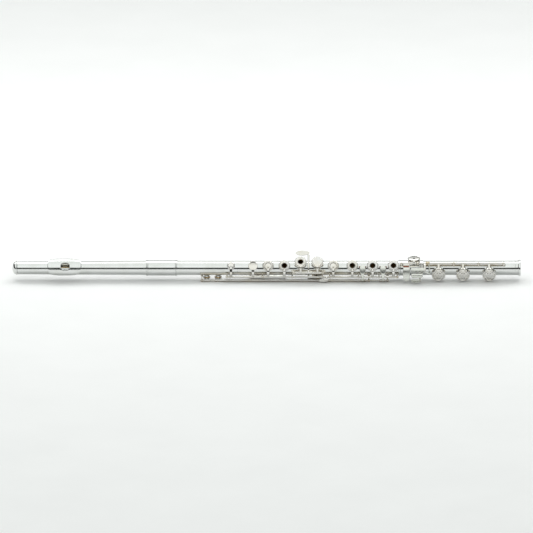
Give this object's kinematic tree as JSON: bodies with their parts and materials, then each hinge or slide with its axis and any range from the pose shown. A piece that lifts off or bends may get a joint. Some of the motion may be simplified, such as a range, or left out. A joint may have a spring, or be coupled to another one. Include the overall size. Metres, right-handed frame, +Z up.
{
  "type": "concert flute",
  "caption": "Silver transverse concert flute with open-hole keys, offset G keys and a B foot, lying on the posts of its rods.",
  "frame": {"origin": "on the table under the middle of the bounding box of the flute as it lies on its trill-rod and thumb-rod posts", "axes": "+X along the tube from the crown to the foot, +Z up from the table, -Y towards the side where the main keys face"},
  "size_m": [0.708, 0.043, 0.0428],
  "materials": {
    "tube_silver": "polished silver plate",
    "key_silver": "polished silver plate, slightly warm",
    "rod_steel": "drawn steel rod and needle springs",
    "pad_skin": "thin golden skin over felt",
    "cork": "natural cork and felt"
  },
  "bodies": {
    "body": {"barrel": "tube_silver", "upper_body_tube": "tube_silver", "lower_body_tube": "tube_silver", "main_rib": "key_silver", "offset_g_rib": "key_silver", "thumb_rib": "key_silver", "left_main_steel": "rod_steel", "right_main_steel": "rod_steel"},
    "head": {"head_tube": "tube_silver", "embouchure_riser": "tube_silver", "lip_plate": "tube_silver"},
    "crown": {"crown": "tube_silver"},
    "stopper": {"stopper_screw": "tube_silver", "head_cork": "cork"},
    "foot": {"foot_tube": "tube_silver", "foot_rib": "key_silver", "e_flat_steel": "rod_steel"},
    "c_key": {"c_key": "key_silver", "c_sharp_pad": "pad_skin"},
    "b_flat_key": {"b_flat_key": "key_silver", "b_flat_pad": "pad_skin"},
    "a_key": {"a_key": "key_silver", "a_pad": "pad_skin"},
    "g_keys": {"g_key": "key_silver", "g_pad": "pad_skin", "lower_g_key": "key_silver", "lower_g_pad": "pad_skin", "g_steel": "rod_steel"},
    "g_sharp_key": {"g_sharp_key": "key_silver", "g_sharp_pad": "pad_skin"},
    "b_thumb_key": {"b_thumb_key": "key_silver", "b_thumb_pad": "pad_skin", "b_thumb_touch": "key_silver", "thumb_steel": "rod_steel"},
    "b_flat_thumb_lever": {"b_flat_thumb_lever": "key_silver"},
    "b_flat_side_lever": {"b_flat_side_lever": "key_silver"},
    "f_sharp_key": {"f_sharp_key": "key_silver", "f_sharp_pad": "pad_skin"},
    "f_key": {"f_key": "key_silver", "f_pad": "pad_skin"},
    "e_key": {"e_key": "key_silver", "e_pad": "pad_skin"},
    "d_key": {"d_key": "key_silver", "d_pad": "pad_skin"},
    "d_trill_key": {"d_trill_key": "key_silver", "d_trill_pad": "pad_skin"},
    "d_sharp_trill_key": {"d_sharp_trill_key": "key_silver", "d_sharp_trill_pad": "pad_skin"},
    "e_flat_key": {"e_flat_key": "key_silver", "e_flat_pad": "pad_skin"},
    "low_c_sharp_key": {"low_c_sharp_key": "key_silver", "low_c_sharp_pad": "pad_skin"},
    "low_c_key": {"low_c_key": "key_silver", "low_c_pad": "pad_skin"},
    "low_b_key": {"low_b_key": "key_silver", "low_b_pad": "pad_skin"},
    "low_c_roller": {"low_c_roller": "key_silver"},
    "low_b_roller": {"low_b_roller": "key_silver"}
  },
  "joints": [
    {"name": "head_slide", "type": "slide", "parent": "body", "child": "head", "axis": [-1, 0, 0], "range_m": [0, 0.015]},
    {"name": "crown_turn", "type": "hinge", "parent": "head", "child": "crown", "pos_m": [-0.349, 0.00219, 0.01709], "axis": [1, 0, 0], "range_deg": [-360, 360]},
    {"name": "stopper_slide", "type": "slide", "parent": "head", "child": "stopper", "axis": [1, 0, 0], "range_m": [-0.0008, 0.0008]},
    {"name": "foot_turn", "type": "hinge", "parent": "body", "child": "foot", "pos_m": [0.191, 0.00219, 0.01709], "axis": [1, 0, 0], "range_deg": [-20, 20]},
    {"name": "c_key_hinge", "type": "hinge", "parent": "body", "child": "c_key", "pos_m": [-0.03, -0.01137, 0.00861], "axis": [1, 0, 0], "range_deg": [-8.5, 0], "stiffness_Nm_per_rad": 0.02, "springref_deg": 17.19},
    {"name": "a_key_hinge", "type": "hinge", "parent": "body", "child": "a_key", "pos_m": [0.023, -0.01137, 0.00861], "axis": [1, 0, 0], "range_deg": [-8.5, 0], "stiffness_Nm_per_rad": 0.02, "springref_deg": 17.19},
    {"name": "b_flat_key_hinge", "type": "hinge", "parent": "body", "child": "b_flat_key", "pos_m": [0.004, -0.01137, 0.00861], "axis": [1, 0, 0], "range_deg": [-8.5, 0], "stiffness_Nm_per_rad": 0.02, "springref_deg": 17.19},
    {"name": "g_keys_hinge", "type": "hinge", "parent": "body", "child": "g_keys", "pos_m": [0.058, -0.01372, 0.01541], "axis": [1, 0, 0], "range_deg": [-8.5, 0], "stiffness_Nm_per_rad": 0.02, "springref_deg": 17.19},
    {"name": "g_sharp_key_hinge", "type": "hinge", "parent": "body", "child": "g_sharp_key", "pos_m": [0.059, -0.01372, 0.01541], "axis": [1, 0, 0], "range_deg": [-7, 0], "stiffness_Nm_per_rad": 0.02, "springref_deg": 17.19},
    {"name": "b_thumb_key_hinge", "type": "hinge", "parent": "body", "child": "b_thumb_key", "pos_m": [0.001, 0.00923, 0.002], "axis": [1, 0, 0], "range_deg": [0, 13], "stiffness_Nm_per_rad": 0.02, "springref_deg": -17.19},
    {"name": "b_flat_thumb_hinge", "type": "hinge", "parent": "body", "child": "b_flat_thumb_lever", "pos_m": [0.004, 0.00923, 0.002], "axis": [1, 0, 0], "range_deg": [0, 13], "stiffness_Nm_per_rad": 0.02, "springref_deg": -17.19},
    {"name": "b_flat_side_hinge", "type": "hinge", "parent": "body", "child": "b_flat_side_lever", "pos_m": [0.062, -0.01137, 0.00861], "axis": [1, 0, 0], "range_deg": [0, 8], "stiffness_Nm_per_rad": 0.02, "springref_deg": -17.19},
    {"name": "f_key_hinge", "type": "hinge", "parent": "body", "child": "f_key", "pos_m": [0.114, -0.01137, 0.00861], "axis": [1, 0, 0], "range_deg": [-8.5, 0], "stiffness_Nm_per_rad": 0.02, "springref_deg": 17.19},
    {"name": "f_sharp_key_hinge", "type": "hinge", "parent": "body", "child": "f_sharp_key", "pos_m": [0.096, -0.01137, 0.00861], "axis": [1, 0, 0], "range_deg": [-8.5, 0], "stiffness_Nm_per_rad": 0.02, "springref_deg": 17.19},
    {"name": "e_key_hinge", "type": "hinge", "parent": "body", "child": "e_key", "pos_m": [0.142, -0.01137, 0.00861], "axis": [1, 0, 0], "range_deg": [-8.5, 0], "stiffness_Nm_per_rad": 0.02, "springref_deg": 17.19},
    {"name": "d_key_hinge", "type": "hinge", "parent": "body", "child": "d_key", "pos_m": [0.169, -0.01137, 0.00861], "axis": [1, 0, 0], "range_deg": [-8.5, 0], "stiffness_Nm_per_rad": 0.02, "springref_deg": 17.19},
    {"name": "d_trill_hinge", "type": "hinge", "parent": "body", "child": "d_trill_key", "pos_m": [0.033, -0.00687, 0.002], "axis": [1, 0, 0], "range_deg": [-11.5, 0], "stiffness_Nm_per_rad": 0.02, "springref_deg": 17.19},
    {"name": "d_sharp_trill_hinge", "type": "hinge", "parent": "body", "child": "d_sharp_trill_key", "pos_m": [0.039, -0.00687, 0.002], "axis": [1, 0, 0], "range_deg": [-11.5, 0], "stiffness_Nm_per_rad": 0.02, "springref_deg": 17.19},
    {"name": "e_flat_key_hinge", "type": "hinge", "parent": "foot", "child": "e_flat_key", "pos_m": [0.199, -0.0097, 0.02779], "axis": [1, 0, 0], "range_deg": [0, 11], "stiffness_Nm_per_rad": 0.02, "springref_deg": -17.19},
    {"name": "low_c_sharp_hinge", "type": "hinge", "parent": "foot", "child": "low_c_sharp_key", "pos_m": [0.239, -0.0097, 0.02779], "axis": [1, 0, 0], "range_deg": [0, 8.5], "stiffness_Nm_per_rad": 0.02, "springref_deg": -17.19},
    {"name": "low_c_hinge", "type": "hinge", "parent": "foot", "child": "low_c_key", "pos_m": [0.256, -0.0097, 0.02779], "axis": [1, 0, 0], "range_deg": [0, 8.5], "stiffness_Nm_per_rad": 0.02, "springref_deg": -17.19},
    {"name": "low_b_hinge", "type": "hinge", "parent": "foot", "child": "low_b_key", "pos_m": [0.271, -0.0097, 0.02779], "axis": [1, 0, 0], "range_deg": [0, 8.5], "stiffness_Nm_per_rad": 0.02, "springref_deg": -17.19},
    {"name": "low_c_roller_spin", "type": "hinge", "parent": "low_c_key", "child": "low_c_roller", "pos_m": [0.2097, -0.02021, 0.01151], "axis": [1, 0, 0], "continuous": true},
    {"name": "low_b_roller_spin", "type": "hinge", "parent": "low_b_key", "child": "low_b_roller", "pos_m": [0.2082, -0.01902, 0.00666], "axis": [1, 0, 0], "continuous": true}
  ],
  "couplings": [
    {"joint": "crown_turn", "follows": "stopper_slide", "rad_per_m": 7853.9},
    {"joint": "b_flat_key_hinge", "follows": "a_key_hinge", "ratio": 1},
    {"joint": "f_sharp_key_hinge", "follows": "f_key_hinge", "ratio": 1}
  ]
}
